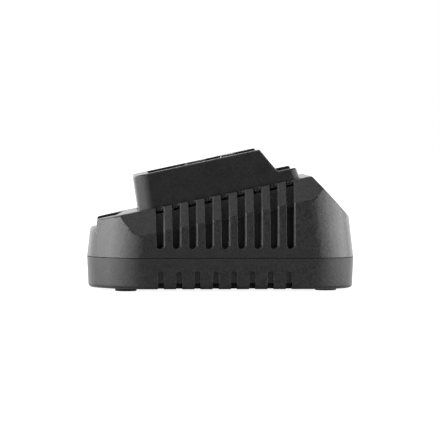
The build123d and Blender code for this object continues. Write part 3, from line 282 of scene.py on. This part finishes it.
def solderMask():
    # green epoxy mask over copper tracks on glass-epoxy board: glossy, the tracks a paler green and
    # slightly raised; they are the joints of a brick pattern
    look = {
        "mask": "#0f3d22", "track": "#1c5a33", "roughness": 0.28, "ior": 1.55, "trackHeightMm": 0.035,
        "pitchMm": 5.0,  # the next three lengths are shares of it
        "trackHalf": 0.12, "blockLength": 1.6, "blockWidth": 0.5,
        "trackSoft": 0.2, "rowShift": 0.35, "rowSquash": 0.7,
    }
    material, tree, shader = newMaterial("solderMask", look["mask"], look["roughness"], ior=look["ior"])
    place = addNode(tree, "TexCoord").outputs["Object"]
    brick = addNode(tree, "TexBrick", {"offset": look["rowShift"], "squash": look["rowSquash"]}, {
        "Scale": perMetre(look["pitchMm"]),
        "Mortar Size": look["trackHalf"], "Mortar Smooth": look["trackSoft"],
        "Brick Width": look["blockLength"], "Row Height": look["blockWidth"],
        "Color1": (0, 0, 0, 1), "Color2": (0, 0, 0, 1), "Mortar": (1, 1, 1, 1)}, {"Vector": place})
    tree.links.new(colourMix(tree, brick.outputs["Color"], look["mask"], look["track"]),
                   shader.inputs["Base Color"])
    bump = addNode(tree, "Bump", values={"Strength": 1.0, "Distance": look["trackHeightMm"] / 1000},
                   feeds={"Height": brick.outputs["Color"]})
    tree.links.new(bump.outputs[0], shader.inputs["Normal"])
    return material


finishOf = {
    "base_tray": texturedAbs,
    "upper_shell": texturedAbs,
    "battery_dock": filledNylon,
    "terminal_block": smoothNylon,
    "power_blades": nickelBrass,
    "signal_blades": nickelBrass,
    "indicator_lens": smokedLens,
    "light_pipes": clearAcrylic,
    "indicator_leds": tintedEpoxy,
    "circuit_board": solderMask(),
    "board_screws": blackZinc,
    "transformer_core": sinteredFerrite,
    "transformer_bobbin": phenolic,
    "transformer_winding": polyesterTape,
    "choke_core": sinteredFerrite,
    "choke_windings": woundCopper,
    "fuse_tube": fuseGlass,
    "fuse_caps": nickelBrass,
    "fuse_clips": nickelBrass,
    "suppression_capacitor": filmCapacitor,
    "bridge_rectifier": mouldedEpoxy,
    "control_chip": mouldedEpoxy,
    "bulk_capacitor": shrinkSleeve,
    "output_capacitors": shrinkSleeve,
    "heat_sink": extrudedAluminium,
    "power_transistors": mouldedEpoxy,
    "transistor_screws": blackZinc,
    "fan_frame": fanPbt,
    "fan_bearing": sinteredBronze,
    "fan_stator": enamelledCopper,
    "fan_impeller": fanPbt,
    "fan_shaft": groundSteel,
    "inlet_body": smoothNylon,
    "inlet_pins": nickelBrass,
    "inlet_wires": pvcInsulation("brownPvc", "#4a2a18", "#563322"),
    "output_wires": pvcInsulation("redPvc", "#8a1512", "#9a2420"),
    "signal_wires": pvcInsulation("yellowPvc", "#a8861c", "#b8962c"),
    "fan_lead": pvcInsulation("blackPvc", "#141414", "#1c1c1c"),
    "housing_screws": blackZinc,
    "dock_screws": blackZinc,
    "rubber_feet": footRubber,
}
bodyOf = {name: body for body, names in frame["record"]["behaviour"]["bodies"].items() for name in names}
copies = {
    "mergeMm": 0.001,
    "flatDegrees": 0.3,  # faces within this angle are joined into one
    "creaseDegrees": 28,
    "flatCreaseDegrees": 8,  # between two faces that are both larger than flatMm2
    "flatMm2": 12.0,
}


def smoothCopy(name):
    # the node's mesh with its doubles merged and its flat faces joined, shaded smooth up to the crease angle
    mesh = bpy.data.meshes.new(name + "Smooth")
    shape = bmesh.new()
    shape.from_mesh(nodes[name].data)
    bmesh.ops.remove_doubles(shape, verts=shape.verts, dist=copies["mergeMm"] / 1000)
    bmesh.ops.dissolve_limit(shape, angle_limit=math.radians(copies["flatDegrees"]),
                             verts=shape.verts, edges=shape.edges)
    crease = math.radians(copies["creaseDegrees"])
    flatCrease = math.radians(copies["flatCreaseDegrees"])
    large = {face for face in shape.faces if face.calc_area() > copies["flatMm2"] * 1e-6}
    for face in shape.faces:
        face.smooth = True
    for edge in shape.edges:
        limit = flatCrease if large.issuperset(edge.link_faces) else crease
        edge.smooth = edge.calc_face_angle(math.pi) < limit
    shape.to_mesh(mesh)
    shape.free()
    mesh.materials.append(finishOf[name])
    piece = bpy.data.objects.new(name + "Smooth", mesh)
    bpy.context.scene.collection.objects.link(piece)
    normals = piece.modifiers.new("weightedNormal", "WEIGHTED_NORMAL")
    normals.keep_sharp = True
    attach(piece, bodyOf[name])
    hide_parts(name)


for nodeName, material in finishOf.items():
    nodes[nodeName].data.materials.clear()
    nodes[nodeName].data.materials.append(material)
    smoothCopy(nodeName)
print("finishes set and mouldings smoothed:", len(finishOf))


cameraLook = {
    "eye": (-0.069785, -2.016, 0.0992),
    "target": (-0.000985, -0.048, 0.03975),  # point at the middle of the picture
    "lensMm": 292.5,
    "sensorMm": 36.0,
    "clip": (0.1, 50.0),  # metres from the eye
}
cameraData = bpy.data.cameras.new("camera")
cameraData.lens = cameraLook["lensMm"]
cameraData.sensor_width = cameraLook["sensorMm"]
cameraData.clip_start, cameraData.clip_end = cameraLook["clip"]
camera = bpy.data.objects.new("camera", cameraData)
camera.location = cameraLook["eye"]
aim = Vector(cameraLook["target"]) - Vector(cameraLook["eye"])
camera.rotation_euler = aim.to_track_quat("-Z", "Y").to_euler()
bpy.context.scene.collection.objects.link(camera)
bpy.context.scene.camera = camera


studio = {
    "front": 0.02,  # world level on the viewer's side
    "behind": 1.0,
    "turnFrom": -0.7,  # share of +Y in a direction, where the world starts to turn white
    "turnTo": 0.35,
    "floorHalf": 6.0,  # metres
    "floorHeight": -0.0001,  # just under the feet, so that the two faces don't flicker
    "floorGlow": 0.92,  # white that the floor adds near the object, so that its shadow stays light
    "shadowReach": 0.3,  # metres from the middle, where the floor starts to run into full white
    "whiteFrom": 0.9,
    "glossFrom": -0.04,  # metres along Y plus those to the side, where gloss starts to see the floor's white
    "glossTo": 0.1,
    "floorColour": "#b0b0b0",
    "floorRoughness": 0.9,
    "aimHeight": 0.04,  # metres up, the point that the soft boxes face
}
# A soft box's level is the brightness of its face, where 1 is white. It stands at a turn in degrees from
# the viewer's side, away from the object and up, in metres. One that isn't in the middle stands on
# both sides.
softBoxes = {
    "topBox": {"level": 0.95, "size": (1.6, 0.7), "turn": 0, "away": 0.9, "height": 1.1},
    "frontSideBox": {"level": 4.0, "size": (0.6, 0.36), "turn": 39, "away": 1.3, "height": 0.19},
    "sideBox": {"level": 7.5, "size": (1.44, 0.36), "turn": 81, "away": 1.3, "height": 0.19},
    "backSideBox": {"level": 2.0, "size": (1.3, 0.8), "turn": 137, "away": 1.5, "height": 0.4},
    "backBox": {"level": 0.9, "size": (1.0, 0.6), "turn": 180, "away": 1.5, "height": 0.35},
}


def addSoftBox(name, look, side):
    # an area lamp that faces the object, whose power gives its face the wanted level
    data = bpy.data.lights.new(name, "AREA")
    data.shape = "RECTANGLE"
    data.size, data.size_y = look["size"]
    data.energy = look["level"] * math.pi * data.size * data.size_y
    lamp = bpy.data.objects.new(name, data)
    turn = math.radians(look["turn"]) * side
    place = Vector((look["away"] * math.sin(turn), -look["away"] * math.cos(turn), look["height"]))
    lamp.location = place
    lamp.visible_camera = False
    lamp.rotation_euler = (Vector((0, 0, studio["aimHeight"])) - place).to_track_quat("-Z", "Y").to_euler()
    bpy.context.scene.collection.objects.link(lamp)


def seenShare(tree, behind):
    # 1 for rays that see the background: the camera's, those through clear pieces, and reflections
    # of what is behind the object
    path = addNode(tree, "LightPath")
    gloss = addNode(tree, "Math", {"operation": "MULTIPLY"},
                    feeds={0: path.outputs["Is Glossy Ray"], 1: behind})
    through = addNode(tree, "Math", {"operation": "MAXIMUM"},
                      feeds={0: path.outputs["Is Camera Ray"], 1: path.outputs["Is Transmission Ray"]})
    return addNode(tree, "Math", {"operation": "MAXIMUM"},
                   feeds={0: gloss.outputs[0], 1: through.outputs[0]}).outputs[0]


def makeWorld():
    # as light: white behind the object and dim on the viewer's side; to the camera: white all round
    world = bpy.data.worlds.new("studioWorld")
    world.use_nodes = True
    tree = world.node_tree
    shader = tree.nodes["Background"]
    direction = addNode(tree, "TexCoord").outputs["Generated"]
    depth = addNode(tree, "SeparateXYZ", feeds={"Vector": direction}).outputs["Y"]
    behind = addNode(tree, "MapRange", {"interpolation_type": "SMOOTHSTEP"},
                     {"From Min": studio["turnFrom"], "From Max": studio["turnTo"]},
                     {"Value": depth}).outputs[0]
    level = addNode(tree, "Mix", values={"A": studio["front"], "B": studio["behind"]},
                    feeds={"Factor": behind})
    strength = addNode(tree, "Mix", values={"B": 1.0},
                       feeds={"Factor": seenShare(tree, behind), "A": level.outputs[0]})
    shader.inputs["Color"].default_value = (1, 1, 1, 1)
    tree.links.new(strength.outputs[0], shader.inputs["Strength"])
    bpy.context.scene.world = world


def makeFloor():
    # pale matt floor that keeps the object's shadow; its added white grows further out
    half = studio["floorHalf"]
    height = studio["floorHeight"]
    corners = [(-half, -half, height), (half, -half, height), (half, half, height), (-half, half, height)]
    mesh = bpy.data.meshes.new("floor")
    mesh.from_pydata(corners, [], [(0, 1, 2, 3)])
    floor = bpy.data.objects.new("floor", mesh)
    bpy.context.scene.collection.objects.link(floor)
    material, tree, shader = newMaterial("studioFloor", studio["floorColour"], studio["floorRoughness"])
    shader.inputs["Specular IOR Level"].default_value = 0.0
    place = addNode(tree, "TexCoord").outputs["Object"]
    reach = addNode(tree, "VectorMath", {"operation": "LENGTH"}, feeds={0: place}).outputs["Value"]
    level = addNode(tree, "MapRange", {"interpolation_type": "SMOOTHSTEP"},
                    {"From Min": studio["shadowReach"], "From Max": studio["whiteFrom"],
                     "To Min": studio["floorGlow"], "To Max": 1.0}, {"Value": reach}).outputs[0]
    parts = addNode(tree, "SeparateXYZ", feeds={"Vector": place})
    side = addNode(tree, "Math", {"operation": "ABSOLUTE"}, feeds={0: parts.outputs["X"]})
    depth = addNode(tree, "Math", {"operation": "ADD"}, feeds={0: parts.outputs["Y"], 1: side.outputs[0]})
    behind = addNode(tree, "MapRange", {"interpolation_type": "SMOOTHSTEP"},
                     {"From Min": studio["glossFrom"], "From Max": studio["glossTo"]},
                     {"Value": depth.outputs[0]}).outputs[0]
    seen = seenShare(tree, behind)
    glow = addNode(tree, "Math", {"operation": "MULTIPLY"}, feeds={0: level, 1: seen})
    tree.links.new(glow.outputs[0], shader.inputs["Emission Strength"])
    shader.inputs["Emission Color"].default_value = (1, 1, 1, 1)
    mesh.materials.append(material)


for boxName, boxLook in softBoxes.items():
    for side in (-1, 1) if boxLook["turn"] % 180 else (1,):
        addSoftBox(boxName, boxLook, side)
makeWorld()
makeFloor()
bpy.context.scene.view_settings.view_transform = "Standard"
print("studio ready")
